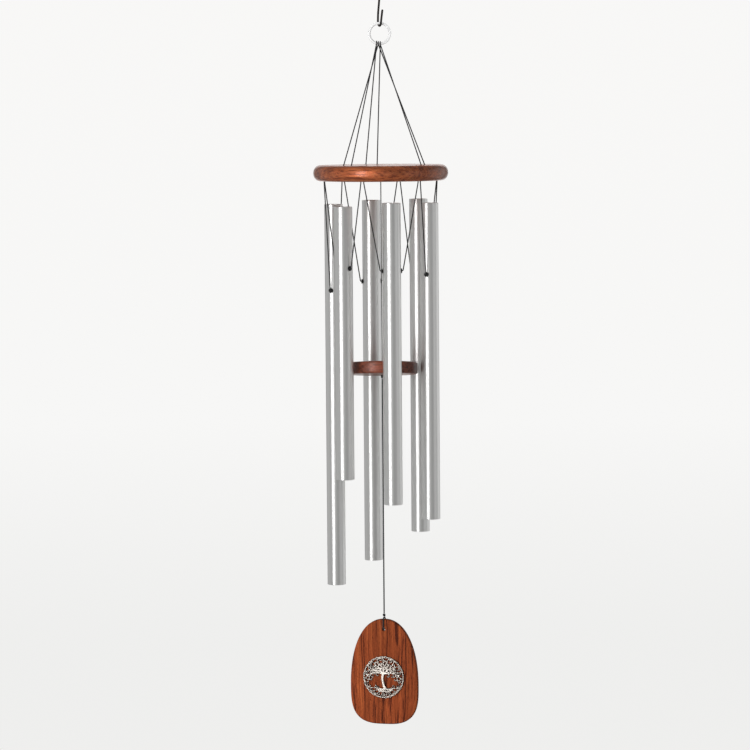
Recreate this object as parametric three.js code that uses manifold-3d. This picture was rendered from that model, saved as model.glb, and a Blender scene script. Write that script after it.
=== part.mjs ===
// Wind chime: a wooden canopy on a ring and S-hook, six aluminium tubes, a striker and an egg-shaped sail.
// Millimetres, +Z up, front towards -Y. The origin is where the chime hangs, inside the S-hook's upper bend.

import * as THREE from 'three';
import { mergeVertices } from 'three/addons/utils/BufferGeometryUtils.js';
import Module from 'manifold-3d';

const wasm = await Module();
wasm.setup();

// ---- driving dimensions -------------------------------------------------------------------------

const GAP = 0.3; // air kept between pieces that touch
const CLEAR = 1; // how far a cutter runs on past the face that it cuts
const DEG = Math.PI / 180;

const HOOK = { wire: 1.8, length: 49.1, yaw: 21 };
// Each half of the hook, across and away from its own end, to the wire's middle.
const HOOK_LOWER = { bend: 3.8, tip: [[7.2, 13.8], [5.3, 8.5]], shaft: [[-3.3, 10], [-2.4, 14], [-1.1, 19]] };
const HOOK_UPPER = { bend: 5.5, tip: [[6.1, 13.8], [5.7, 6.9]], shaft: [[-5.2, 10], [-4.1, 14], [-1.6, 19]] };
const RING = { wire: 2.2, radius: 8.8 };

const CORD = 1.0; // suspension and tube cords
const CENTRE_CORD = 0.9;
const SAIL_CORD = 1.2;
const CORD_END = 1.5; // how far a hanging cord reaches up into its canopy hole
const KNOT_SEGMENTS = 10;
const KNOT_NECK = -55; // where a ball meets its stem, in degrees above the ball's widest line

const CANOPY = { radius: 58, thickness: 13.4, edge: 5.5, top: -165.2 }; // edge = where its rounding starts
const SUSPENSION = { bearings: [-18, 102, 222], radius: 38, spread: 10, hole: 1.1 };
const RING_PASSES = [-2.7, -1.2, 0.5]; // where the three suspension cords lie across the ring
const POCKET = { length: 15, width: 4.6, depth: 3.4 };
const TUBE_HOLES = { first: 11.5, radius: 49.6, hole: 2.4, recess: 4, depth: 6 };
const TUBE_KNOT = { radius: 3.2, height: 4, stem: 1.65 };
const CENTRE_HOLE = { hole: 1.5, recess: 3.2, depth: 5 };
const CENTRE_KNOT = { radius: 2.5, height: 3.4, stem: 0.45 };

const TUBE = { outer: 8, wall: 1.2, circle: 43.3, firstBearing: 161.5, hole: 1.6, node: 0.2242 };
const TUBES = [
  { length: 330.6, drop: 20.4 },
  { length: 315.6, drop: 17.9 },
  { length: 290, drop: 16.7 },
  { length: 272, drop: 19 },
  { length: 257, drop: 18.1 },
  { length: 233.5, drop: 21.4 },
]; // drop = from the canopy's underside to the tube's top
const GROMMET = { bore: 0.8, neck: 1.3, lip: 2.1, lipThickness: 0.8 };
const CORD_SPLAY = 23.5; // half the distance between a tube cord's two canopy ends

const STRIKER = { radius: 30.5, thickness: 10.4, edge: 2, hole: 1.5, middle: -340.5, tilt: -7 };
const STRIKER_KNOT = 1.5; // radius

const SAIL = { top: -558.4, upper: 58.3, lower: 33.7, half: 30.1, thickness: 5, edge: 1.2, yaw: -15 };
const SAIL_POWERS = { upper: 2.2, lower: 3.1 }; // superellipse powers above and below the widest line
const SAIL_HOLE = { radius: 1.3, below: 8.9 };
const SAIL_KNOT = { radius: 1.3, above: 3.4 };
const LOOP_SHOULDER = [[0.75, 1.4], [2.4, 0.9], [3.4, -0.4]]; // out from the middle, up from the sail

const MEDALLION = { radius: 18.6, rim: 1.5, thickness: 1.6, below: 50.6 };
const TREE = {
  fork: [0, 1.5],
  foot: [0, -9.5],
  trunk: [3.4, 2.8], // width at the foot and at the fork
  boughs: [8, 36, 64], // bearings of their tips on each side
  bough: [2, 1.5, 1],
  elbow: { reach: 0.52, lead: 14, lift: 1 },
  twig: { lead: 15, widths: [1.2, 0.9] },
  roots: [-40, -66],
  root: [1.9, 1.1],
};

// ---- places worked out from them ----------------------------------------------------------------

const hookTop = HOOK.wire / 2;
const hookBottom = hookTop - (HOOK.length - HOOK.wire);
const ringTopWire = hookBottom + HOOK.wire / 2 + GAP + RING.wire / 2;
const ringCentre = ringTopWire - RING.radius;
const canopyBottom = CANOPY.top - CANOPY.thickness;
const sailHole = SAIL.top - SAIL_HOLE.below;
const sailKnot = SAIL.top + SAIL_KNOT.above;
const strikerKnot = STRIKER.middle - STRIKER.thickness / 2 - GAP - STRIKER_KNOT;
const stemFoot = canopyBottom + CORD_END + GAP; // where the cord ends below the canopy's knots stop

// ---- materials ----------------------------------------------------------------------------------

function finish(color, roughness, metalness) {
  return new THREE.MeshStandardMaterial({ color, roughness, metalness });
}

const MATERIAL = {
  canopyWood: () => finish(0x95502f, 0.3, 0),
  strikerWood: () => finish(0x5c2f22, 0.35, 0),
  sailWood: () => finish(0x874222, 0.4, 0),
  aluminium: () => finish(0xb9b9b7, 0.35, 1),
  brightWire: () => finish(0xd8d8d8, 0.2, 1),
  darkWire: () => finish(0x2b2420, 0.45, 1),
  cord: () => finish(0x2a2a2c, 0.9, 0),
  rubber: () => finish(0x0d0d0d, 0.6, 0),
  pewter: () => finish(0x9a958c, 0.4, 1),
};

// ---- small helpers ------------------------------------------------------------------------------

function v3(x, y, z) {
  return new THREE.Vector3(x, y, z);
}

function polar(radius, bearing, z = 0) {
  return v3(radius * Math.cos(bearing * DEG), radius * Math.sin(bearing * DEG), z);
}

function part(name, geometry, material) {
  const mesh = new THREE.Mesh(geometry, material);
  mesh.name = name;
  return mesh;
}

// A lathe about +Z, from [radius, z] pairs that start and end on the axis.
function turned(profile, segments) {
  const points = profile.map(([radius, z]) => new THREE.Vector2(radius, z));
  const geometry = new THREE.LatheGeometry(points, segments);
  geometry.rotateX(Math.PI / 2);
  return geometry;
}

// A lathe whose profile closes on itself, for rings and bushes.
function turnedRing(profile, segments) {
  return turned([...profile, profile[0]], segments);
}

// Points on an arc in a plane, from angle a to angle b in degrees.
function arc(centre, radius, a, b, steps) {
  const points = [];
  for (let i = 0; i <= steps; i += 1) {
    const angle = (a + ((b - a) * i) / steps) * DEG;
    points.push([centre[0] + radius * Math.cos(angle), centre[1] + radius * Math.sin(angle)]);
  }
  return points;
}

// The route of a cord or wire: straight from each point to the next, with a section at every point.
class Route extends THREE.Curve {
  constructor(points) {
    super();
    this.points = points;
  }

  getUtoTmapping(u) {
    return u;
  }

  getPoint(t) {
    const last = this.points.length - 1;
    const i = Math.min(Math.floor(t * last), last - 1);
    return this.points[i].clone().lerp(this.points[i + 1], t * last - i);
  }

  getSpacedPoints() {
    return this.points.map((point) => point.clone());
  }

  getTangent(t) {
    const last = this.points.length - 1;
    const i = Math.round(t * last);
    const before = this.points[Math.max(i, 1)].clone().sub(this.points[Math.max(i, 1) - 1]);
    const after = this.points[Math.min(i + 1, last)].clone().sub(this.points[Math.min(i, last - 1)]);
    return before.normalize().add(after.normalize()).normalize();
  }
}

function alongRoute(points, diameter, sides = 8) {
  const section = new THREE.Shape();
  for (let i = 0; i < sides; i += 1) {
    const angle = (2 * Math.PI * i) / sides;
    const x = (diameter / 2) * Math.cos(angle);
    const y = (diameter / 2) * Math.sin(angle);
    if (i === 0) section.moveTo(x, y);
    else section.lineTo(x, y);
  }
  section.closePath();
  const extrudePath = new Route(points);
  return new THREE.ExtrudeGeometry(section, { extrudePath, steps: points.length - 1, bevelEnabled: false });
}

function toSolid(geometry) {
  const bare = geometry.clone();
  bare.deleteAttribute('normal');
  bare.deleteAttribute('uv');
  const merged = mergeVertices(bare, 1e-4);
  const mesh = new wasm.Mesh({
    numProp: 3,
    vertProperties: new Float32Array(merged.attributes.position.array),
    triVerts: new Uint32Array(merged.index.array),
  });
  mesh.merge();
  return new wasm.Manifold(mesh);
}

function toGeometry(solid) {
  const { vertProperties, triVerts } = solid.getMesh();
  const geometry = new THREE.BufferGeometry();
  geometry.setAttribute('position', new THREE.BufferAttribute(new Float32Array(vertProperties), 3));
  geometry.setIndex(new THREE.BufferAttribute(new Uint32Array(triVerts), 1));
  geometry.computeVertexNormals();
  return geometry;
}

function cutAway(geometry, cutters) {
  return toGeometry(cutters.reduce((solid, cutter) => solid.subtract(toSolid(cutter)), toSolid(geometry)));
}

function joined(geometries) {
  return toGeometry(geometries.map(toSolid).reduce((solid, next) => solid.add(next)));
}

// A ball, squashed to height. Its profile runs from the top pole to the angle where it stops.
function ballProfile(radius, height, stop, steps) {
  const dome = arc([0, 0], 1, 90, stop, steps).map(([x, z]) => [radius * Math.abs(x), (height / 2) * z]);
  dome[0][0] = 0;
  return dome;
}

function knotGeometry(radius, height) {
  const profile = ballProfile(radius, height, -90, 7);
  profile[profile.length - 1][0] = 0;
  return turned(profile.reverse(), KNOT_SEGMENTS);
}

// A knot on a stem that runs down from its middle by length.
function stemmedKnotGeometry({ radius, height, stem }, length) {
  const profile = ballProfile(radius, height, KNOT_NECK, 6);
  profile.push([stem, -height / 2], [stem, -length], [0, -length]);
  return turned(profile.reverse(), KNOT_SEGMENTS);
}

// ---- hook and ring ------------------------------------------------------------------------------

function sHook() {
  const height = hookTop - hookBottom;
  const half = ({ bend, tip, shaft }) => [...tip, ...arc([0, bend], bend, 0, -180, 10), ...shaft];
  const upper = half(HOOK_UPPER).map(([p, z]) => [-p, height - z]).reverse();
  const across = polar(1, HOOK.yaw - 90);
  const outline = [...half(HOOK_LOWER), [0, height / 2], ...upper];
  const points = outline.map(([p, z]) => v3(across.x * p, across.y * p, hookBottom + z));
  return part('s_hook', alongRoute(points, HOOK.wire), MATERIAL.darkWire());
}

function hangingRing() {
  const geometry = new THREE.TorusGeometry(RING.radius, RING.wire / 2, 8, 28);
  geometry.rotateX(Math.PI / 2);
  geometry.translate(0, 0, ringCentre);
  return part('hanging_ring', geometry, MATERIAL.brightWire());
}

// ---- suspension ---------------------------------------------------------------------------------

// The two canopy holes of one attachment, first the one at the larger bearing.
function suspensionHoles(bearing) {
  const middle = polar(SUSPENSION.radius, bearing);
  const sideways = polar(SUSPENSION.spread / 2, bearing + 90);
  return [middle.clone().add(sideways), middle.clone().sub(sideways)];
}

// One cord: up from its front hole, over the ring's bottom wire and down to its rear hole.
function suspensionCord(name, x, frontHole, rearHole) {
  const wireMiddle = ringCentre - Math.sqrt(RING.radius ** 2 - x ** 2);
  const around = RING.wire / 2 + GAP + CORD / 2;
  const over = arc([0, wireMiddle], around, 190, -10, 8).map(([y, z]) => v3(x, y, z));
  const foot = canopyBottom + POCKET.depth + GAP;
  const leg = (hole) => [v3(hole.x, hole.y, CANOPY.top), v3(hole.x, hole.y, foot)];
  const points = [...leg(frontHole).reverse(), ...over, ...leg(rearHole)];
  return part(name, alongRoute(points, CORD), MATERIAL.cord());
}

function suspension() {
  const group = new THREE.Group();
  const [right, rear, left] = SUSPENSION.bearings.map(suspensionHoles);
  group.add(
    suspensionCord('suspension_cord_1', RING_PASSES[0], left[0], rear[0]),
    suspensionCord('suspension_cord_2', RING_PASSES[1], left[1], right[0]),
    suspensionCord('suspension_cord_3', RING_PASSES[2], right[1], rear[1]),
  );
  SUSPENSION.bearings.forEach((bearing, i) => {
    const geometry = knotGeometry(1, 1);
    geometry.scale(POCKET.width / 2 - GAP, POCKET.length / 2 - 2 * GAP, POCKET.depth - 2 * GAP);
    const knot = part(`suspension_knot_${i + 1}`, geometry, MATERIAL.cord());
    knot.position.copy(polar(SUSPENSION.radius, bearing, canopyBottom + POCKET.depth / 2));
    knot.rotation.z = bearing * DEG;
    group.add(knot);
  });
  return group;
}

// ---- canopy -------------------------------------------------------------------------------------

// A disc whose edge is half an ellipse.
function canopyBlank() {
  const { radius, edge, top } = CANOPY;
  const half = CANOPY.thickness / 2;
  const middle = canopyBottom + half;
  const rim = arc([0, 0], 1, -90, 90, 8).map(([x, z]) => [radius - edge + edge * x, middle + half * z]);
  return turned([[0, canopyBottom], ...rim, [0, top]], 44);
}

// A through hole with a wider recess sunk in the top face.
function steppedHole(at, hole, recess, depth) {
  const floor = CANOPY.top - depth;
  const profile = [
    [0, canopyBottom - CLEAR],
    [hole, canopyBottom - CLEAR],
    [hole, floor],
    [recess, floor],
    [recess, CANOPY.top + CLEAR],
    [0, CANOPY.top + CLEAR],
  ];
  return turned(profile, 12).translate(at.x, at.y, 0);
}

function canopy() {
  const cutters = [steppedHole(v3(0, 0, 0), CENTRE_HOLE.hole, CENTRE_HOLE.recess, CENTRE_HOLE.depth)];
  for (let i = 0; i < TUBES.length; i += 1) {
    const at = polar(TUBE_HOLES.radius, TUBE_HOLES.first + 60 * i);
    cutters.push(steppedHole(at, TUBE_HOLES.hole, TUBE_HOLES.recess, TUBE_HOLES.depth));
  }
  for (const bearing of SUSPENSION.bearings) {
    for (const hole of suspensionHoles(bearing)) {
      const depth = CANOPY.thickness + 2 * CLEAR;
      const drill = new THREE.CylinderGeometry(SUSPENSION.hole, SUSPENSION.hole, depth, 8);
      drill.rotateX(Math.PI / 2).translate(hole.x, hole.y, canopyBottom + CANOPY.thickness / 2);
      cutters.push(drill);
    }
    const pocket = new THREE.BoxGeometry(POCKET.width, POCKET.length, 2 * POCKET.depth);
    const at = polar(SUSPENSION.radius, bearing, canopyBottom);
    cutters.push(pocket.rotateZ(bearing * DEG).translate(at.x, at.y, at.z));
  }
  return part('canopy', cutAway(canopyBlank(), cutters), MATERIAL.canopyWood());
}

function canopyKnots() {
  const group = new THREE.Group();
  const middle = CANOPY.top - TUBE_HOLES.depth + GAP + TUBE_KNOT.height / 2;
  for (let i = 0; i < TUBES.length; i += 1) {
    const geometry = stemmedKnotGeometry(TUBE_KNOT, middle - stemFoot);
    const knot = part(`tube_cord_knot_${i + 1}`, geometry, MATERIAL.cord());
    knot.position.copy(polar(TUBE_HOLES.radius, TUBE_HOLES.first + 60 * i, middle));
    group.add(knot);
  }
  return group;
}

// ---- centre line --------------------------------------------------------------------------------

function centreKnot() {
  const middle = CANOPY.top - CENTRE_HOLE.depth + GAP + CENTRE_KNOT.height / 2;
  const knot = part('centre_knot', stemmedKnotGeometry(CENTRE_KNOT, middle - stemFoot), MATERIAL.cord());
  knot.position.z = middle;
  return knot;
}

function centreCord() {
  const foot = strikerKnot + STRIKER_KNOT + GAP;
  const points = [v3(0, 0, canopyBottom + CORD_END), v3(0, 0, STRIKER.middle), v3(0, 0, foot)];
  return part('centre_cord', alongRoute(points, CENTRE_CORD), MATERIAL.cord());
}

function striker() {
  const { radius, thickness, edge, hole, middle, tilt } = STRIKER;
  const half = thickness / 2;
  const profile = [
    [hole, -half],
    ...arc([radius - edge, -half + edge], edge, -90, 0, 3),
    ...arc([radius - edge, half - edge], edge, 0, 90, 3),
    [hole, half],
  ];
  const disc = part('striker', turnedRing(profile, 36), MATERIAL.strikerWood());
  disc.position.z = middle;
  disc.rotation.x = tilt * DEG;
  return disc;
}

function strikerKnotMesh() {
  const knot = part('striker_knot', knotGeometry(STRIKER_KNOT, 2 * STRIKER_KNOT), MATERIAL.cord());
  knot.position.z = strikerKnot;
  return knot;
}

// ---- tubes --------------------------------------------------------------------------------------

// In each tube's own frame, x points outwards, y runs along the cord through it and z is up from its top.
function tubeMesh(name, length) {
  const outline = new THREE.Shape().absarc(0, 0, TUBE.outer, 0, 2 * Math.PI);
  outline.holes.push(new THREE.Path().absarc(0, 0, TUBE.outer - TUBE.wall, 0, 2 * Math.PI, true));
  const wall = new THREE.ExtrudeGeometry(outline, { depth: length, curveSegments: 14, bevelEnabled: false });
  wall.translate(0, 0, -length);
  const drill = new THREE.CylinderGeometry(TUBE.hole, TUBE.hole, 3 * TUBE.outer, 10);
  drill.translate(0, 0, -TUBE.node * length);
  return part(name, cutAway(wall, [drill]), MATERIAL.aluminium());
}

function grommetMesh(name, side, depth) {
  const inner = Math.sqrt((TUBE.outer - TUBE.wall) ** 2 - GROMMET.lip ** 2) - GAP;
  const outer = TUBE.outer + GAP;
  const { bore, neck, lip, lipThickness } = GROMMET;
  const profile = [
    [bore, inner - lipThickness],
    [lip, inner - lipThickness],
    [lip, inner],
    [neck, inner],
    [neck, outer],
    [lip, outer],
    [lip, outer + lipThickness],
    [bore, outer + lipThickness],
  ];
  const geometry = turnedRing(profile, 10);
  geometry.rotateX((-Math.PI / 2) * side);
  const bush = part(name, geometry, MATERIAL.rubber());
  bush.position.z = -depth;
  return bush;
}

// A V: down from one canopy hole, through both grommets and back up to the next canopy hole.
function tubeCordMesh(name, rise) {
  const mouth = TUBE.outer + GAP + GROMMET.lipThickness;
  const turn = arc([mouth, CORD], CORD, 0, -90, 3).map(([y, z]) => v3(0, y, z));
  const leg = [v3(0, CORD_SPLAY, rise + CORD_END), v3(0, CORD_SPLAY, rise - CORD), ...turn];
  const mirrored = leg.map((point) => v3(0, -point.y, point.z)).reverse();
  return part(name, alongRoute([...leg, ...mirrored], CORD), MATERIAL.cord());
}

function hangingTubes() {
  const group = new THREE.Group();
  TUBES.forEach(({ length, drop }, i) => {
    const number = i + 1;
    const bearing = TUBE.firstBearing - 60 * i;
    const depth = TUBE.node * length;
    const station = new THREE.Group();
    station.position.copy(polar(TUBE.circle, bearing, canopyBottom - drop));
    station.rotation.z = bearing * DEG;
    const cord = tubeCordMesh(`tube_cord_${number}`, drop + depth);
    cord.position.z = -depth;
    station.add(
      cord,
      tubeMesh(`tube_${number}`, length),
      grommetMesh(`grommet_${number}_left`, 1, depth),
      grommetMesh(`grommet_${number}_right`, -1, depth),
    );
    group.add(station);
  });
  return group;
}

// ---- sail ---------------------------------------------------------------------------------------

function sailCord() {
  const top = strikerKnot - STRIKER_KNOT - GAP;
  const foot = sailKnot + SAIL_KNOT.radius + GAP;
  return part('sail_cord', alongRoute([v3(0, 0, top), v3(0, 0, foot)], SAIL_CORD), MATERIAL.cord());
}

// The egg outline, measured from the widest line, by formula in each quarter.
function sailOutline(inset) {
  const quarter = (height, power, count) => {
    const points = [];
    for (let i = 0; i < count; i += 1) {
      const angle = (Math.PI / 2) * (i / count);
      points.push([
        (SAIL.half - inset) * Math.cos(angle) ** (2 / power),
        (height - inset) * Math.sin(angle) ** (2 / power),
      ]);
    }
    return points;
  };
  const top = [0, SAIL.upper - inset];
  const bottom = [0, inset - SAIL.lower];
  const upper = quarter(SAIL.upper, SAIL_POWERS.upper, 11);
  const lower = quarter(SAIL.lower, SAIL_POWERS.lower, 9).map(([x, z]) => [x, -z]);
  const right = [bottom, ...lower.slice(1).reverse(), ...upper];
  const left = right.slice(1).map(([x, z]) => [-x, z]).reverse();
  return [...right, top, ...left].map(([x, z]) => new THREE.Vector2(x, z));
}

function windcatcher() {
  const plate = new THREE.ExtrudeGeometry(new THREE.Shape(sailOutline(SAIL.edge)), {
    depth: SAIL.thickness - 2 * SAIL.edge,
    bevelThickness: SAIL.edge,
    bevelSize: SAIL.edge,
    bevelSegments: 2,
  });
  plate.translate(0, 0, SAIL.edge - SAIL.thickness / 2);
  plate.rotateX(Math.PI / 2);
  plate.translate(0, 0, SAIL.top - SAIL.upper);
  const drill = new THREE.CylinderGeometry(SAIL_HOLE.radius, SAIL_HOLE.radius, 2 * SAIL.thickness, 10);
  drill.translate(0, 0, sailHole);
  return part('windcatcher', cutAway(plate, [drill]), MATERIAL.sailWood());
}

function sailKnotMesh() {
  const knot = part('sail_knot', knotGeometry(SAIL_KNOT.radius, 2 * SAIL_KNOT.radius), MATERIAL.cord());
  knot.position.z = sailKnot;
  return knot;
}

// The loop under the knot: down the front face, through the hole and up the back face.
function sailLoop() {
  const out = SAIL.thickness / 2 + GAP + SAIL_CORD / 2;
  const shoulder = LOOP_SHOULDER.map(([y, z]) => [y, SAIL.top + z]);
  const turn = arc([out - SAIL_CORD, sailHole + SAIL_CORD], SAIL_CORD, 0, -90, 3);
  const side = [...shoulder, ...turn];
  const otherSide = side.map(([y, z]) => [-y, z]).reverse();
  const points = [...side, ...otherSide].map(([y, z]) => v3(0, y, z));
  return part('sail_loop', alongRoute(points, SAIL_CORD), MATERIAL.cord());
}

// ---- medallion ----------------------------------------------------------------------------------

// A flat tapering limb from one point to another, as a closed prism.
function limb([x0, z0], [x1, z1], width0, width1) {
  const length = Math.hypot(x1 - x0, z1 - z0);
  const [nx, nz] = [-(z1 - z0) / length, (x1 - x0) / length];
  const corners = [
    [x0 - (nx * width0) / 2, z0 - (nz * width0) / 2],
    [x1 - (nx * width1) / 2, z1 - (nz * width1) / 2],
    [x1 + (nx * width1) / 2, z1 + (nz * width1) / 2],
    [x0 + (nx * width0) / 2, z0 + (nz * width0) / 2],
  ];
  const outline = new THREE.Shape(corners.map(([x, z]) => new THREE.Vector2(x, z)));
  return new THREE.ExtrudeGeometry(outline, { depth: MEDALLION.thickness, bevelEnabled: false });
}

// A generic tree in a ring: a trunk, and boughs and roots that fan out evenly to the rim.
function medallion() {
  const { radius, rim, thickness } = MEDALLION;
  const reach = radius - rim / 2;
  const rimOutline = new THREE.Shape().absarc(0, 0, radius, 0, 2 * Math.PI);
  rimOutline.holes.push(new THREE.Path().absarc(0, 0, radius - rim, 0, 2 * Math.PI, true));
  const { fork, foot, trunk, boughs, bough, elbow, twig, roots, root } = TREE;
  const overlap = 0.5; // how far the trunk runs on into its boughs and roots
  const pieces = [
    new THREE.ExtrudeGeometry(rimOutline, { depth: thickness, curveSegments: 18, bevelEnabled: false }),
    limb([foot[0], foot[1] - overlap], [fork[0], fork[1] + overlap], ...trunk),
  ];
  for (const side of [-1, 1]) {
    for (const bearing of boughs) {
      const tip = polar(reach, bearing);
      const knee = polar(reach * elbow.reach, bearing + elbow.lead);
      const at = [side * knee.x, knee.y + elbow.lift];
      const twigTip = polar(reach, bearing + twig.lead);
      pieces.push(limb(fork, at, bough[0], bough[1]));
      pieces.push(limb(at, [side * tip.x, tip.y], bough[1], bough[2]));
      pieces.push(limb(at, [side * twigTip.x, twigTip.y], ...twig.widths));
    }
    for (const bearing of roots) {
      const tip = polar(reach, bearing);
      pieces.push(limb(foot, [side * tip.x, tip.y], ...root));
    }
  }
  const geometry = joined(pieces);
  geometry.rotateX(Math.PI / 2);
  geometry.translate(0, -(SAIL.thickness / 2 + GAP), SAIL.top - MEDALLION.below);
  return part('medallion', geometry, MATERIAL.pewter());
}

function sail() {
  const group = new THREE.Group();
  group.rotation.z = SAIL.yaw * DEG;
  group.add(sailKnotMesh(), sailLoop(), windcatcher(), medallion());
  return group;
}

// ---- the whole chime ----------------------------------------------------------------------------

const chime = new THREE.Group();
chime.add(
  sHook(),
  hangingRing(),
  suspension(),
  canopy(),
  canopyKnots(),
  centreKnot(),
  centreCord(),
  striker(),
  strikerKnotMesh(),
  hangingTubes(),
  sailCord(),
  sail(),
);

export default chime;
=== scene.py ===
"""A wind chime: the visible pieces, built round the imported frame. Metres, +Z up, front towards -Y.

The chime hangs from the origin. Places and outer sizes come from the frame's boxes where they can, the
rest comes from the dimensions below, and the cords repeat the routes of the frame's own cords.
"""

import math
import random

import bmesh
import bpy
from mathutils import Matrix, Vector


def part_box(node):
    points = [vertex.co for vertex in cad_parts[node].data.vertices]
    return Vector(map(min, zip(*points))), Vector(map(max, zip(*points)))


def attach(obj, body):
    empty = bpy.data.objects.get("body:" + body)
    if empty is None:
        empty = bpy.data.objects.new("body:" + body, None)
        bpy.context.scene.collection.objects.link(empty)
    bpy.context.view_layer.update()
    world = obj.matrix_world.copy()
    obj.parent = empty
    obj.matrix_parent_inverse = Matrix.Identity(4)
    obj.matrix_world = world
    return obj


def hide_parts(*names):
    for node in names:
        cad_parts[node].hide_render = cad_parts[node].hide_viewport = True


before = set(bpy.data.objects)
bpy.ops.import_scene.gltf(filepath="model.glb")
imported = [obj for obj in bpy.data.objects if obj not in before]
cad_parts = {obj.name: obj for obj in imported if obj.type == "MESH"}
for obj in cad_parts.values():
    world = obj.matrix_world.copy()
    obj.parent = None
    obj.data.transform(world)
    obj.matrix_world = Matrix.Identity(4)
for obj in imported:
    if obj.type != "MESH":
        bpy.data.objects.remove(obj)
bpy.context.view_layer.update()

# ---- driving dimensions ---------------------------------------------------------------------------

MM = 0.001
QUARTER = math.pi / 2
GAP = 0.3 * MM  # between pieces that all but touch
PAST = 1 * MM  # how far a cutter runs past the face that it opens
TUBE_COUNT = 6
STEP = math.radians(60)  # from one tube to the next

HOOK = {"wire": 1.8 * MM, "yaw": math.radians(21)}
# Each half of the hook, across and away from its own end, to the wire's middle, in millimetres.
HOOK_LOWER = {"bend": 3.8, "tip": ((7.2, 13.8), (5.3, 8.5)), "shaft": ((-3.3, 10), (-2.4, 14), (-1.1, 19))}
HOOK_UPPER = {"bend": 5.5, "tip": ((6.1, 13.8), (5.7, 6.9)), "shaft": ((-5.2, 10), (-4.1, 14), (-1.6, 19))}
RING_WIRE = 2.2 * MM
CORD = 1.0 * MM
CORD_END = 1.5 * MM  # how far a hanging cord reaches up into its canopy hole
CENTRE_CORD = 0.9 * MM
SAIL_CORD = 1.2 * MM
SUSPENSION = {"bearings": (-18, 102, 222), "radius": 38 * MM, "spread": 10 * MM, "hole": 1.1 * MM}
RING_PASSES = (-2.7 * MM, -1.2 * MM, 0.5 * MM)  # where the three cords lie across the ring
POCKET = {"length": 15 * MM, "width": 4.6 * MM, "depth": 3.4 * MM}
TUBE_HOLES = {
    "first": math.radians(11.5), "radius": 49.6 * MM, "hole": 2.4 * MM, "recess": 4 * MM, "depth": 6 * MM,
}
CENTRE_HOLE = {"hole": 1.5 * MM, "recess": 3.2 * MM, "depth": 5 * MM}
FIRST_TUBE = math.radians(161.5)
TUBE_CIRCLE = 43.3 * MM
TUBE_WALL = 1.2 * MM
TUBE_HOLE = 1.6 * MM
TUBE_NODE = 0.2242  # share of a tube's length from its top to its cord holes
CORD_SPLAY = 23.5 * MM  # sideways from a tube's middle to where its cord meets the canopy
GROMMET = {"bore": 0.8 * MM, "neck": 1.3 * MM, "lip": 2.1 * MM, "lip_thickness": 0.8 * MM}
STRIKER = {
    "radius": 30.5 * MM, "thickness": 10.4 * MM, "edge": 2 * MM, "hole": 1.5 * MM, "tilt": math.radians(-7),
}
SAIL = {
    "upper": 58.3 * MM, "lower": 33.7 * MM, "half": 30.1 * MM, "thickness": 5 * MM, "yaw": math.radians(-15),
}
SAIL_HOLE = {"radius": 1.3 * MM, "below": 8.9 * MM}
# The loop's shoulder, out from the middle and up from the sail's top, in millimetres.
LOOP_SHOULDER = ((0.75, 1.4), (2.4, 0.9), (3.4, -0.4))
MEDALLION = {"radius": 18.6 * MM, "thickness": 1.6 * MM, "below": 50.6 * MM}
CANOPY_EDGE = 5.5 * MM  # how far in from its rim the canopy's rounding starts
BRAID_STEP = 0.36 * MM  # from one section of a braided cord to the next
BRAID_TURN = 1.25  # how far the strands wind from one section to the next, as an angle of their pattern
CAMERA = {
    "place": (0, -3, -0.109), "lens": 167.4,
    "pitch": math.radians(4.52), "turn": math.radians(0.12), "roll": math.radians(0.46),
}


# ---- places that come from the frame --------------------------------------------------------------

def middle_of(name):
    low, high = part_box(name)
    return (low + high) / 2


canopy_low, canopy_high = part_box("canopy")
CANOPY_RADIUS = (canopy_high.x - canopy_low.x) / 2
CANOPY_TOP = canopy_high.z
CANOPY_BOTTOM = canopy_low.z
HOOK_BOTTOM, HOOK_HIGHEST = (corner.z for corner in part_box("s_hook"))
RING_CENTRE = middle_of("hanging_ring").z
ring_low, ring_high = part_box("hanging_ring")
RING_RADIUS = (ring_high.x - ring_low.x - RING_WIRE) / 2
STRIKER_MIDDLE = middle_of("striker").z
SAIL_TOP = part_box("windcatcher")[1].z
SAIL_HOLE_Z = SAIL_TOP - SAIL_HOLE["below"]


# ---- camera ---------------------------------------------------------------------------------------

def add_camera():
    """Three metres in front and a little above the canopy, looking slightly down, as in the photograph."""
    data = bpy.data.cameras.new("camera")
    data.sensor_width = 36
    data.lens = CAMERA["lens"]
    data.clip_start = 0.1
    data.clip_end = 60
    camera = bpy.data.objects.new("camera", data)
    bpy.context.scene.collection.objects.link(camera)
    look = Matrix.Rotation(CAMERA["turn"], 4, "Z") @ Matrix.Rotation(QUARTER - CAMERA["pitch"], 4, "X")
    roll = Matrix.Rotation(-CAMERA["roll"], 4, "Z")
    camera.matrix_world = Matrix.Translation(CAMERA["place"]) @ look @ roll
    bpy.context.scene.camera = camera


add_camera()


# ---- material helpers -----------------------------------------------------------------------------

def node(tree, kind, inputs=None, **settings):
    """A shader node. An input that is itself a socket is linked, and any other value is set."""
    made = tree.nodes.new("ShaderNode" + kind)
    for key, value in settings.items():
        setattr(made, key, value)
    for key, value in (inputs or {}).items():
        if isinstance(value, bpy.types.NodeSocket):
            tree.links.new(value, made.inputs[key])
        else:
            made.inputs[key].default_value = value
    return made


def new_material(name, **constants):
    """A material with one Principled shader, whose constant values sit on the shader's own sockets."""
    material = bpy.data.materials.new(name)
    material.use_nodes = True
    shader = material.node_tree.nodes["Principled BSDF"]
    for key, value in constants.items():
        shader.inputs[key.replace("_", " ")].default_value = value
    return material, material.node_tree, shader


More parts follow.
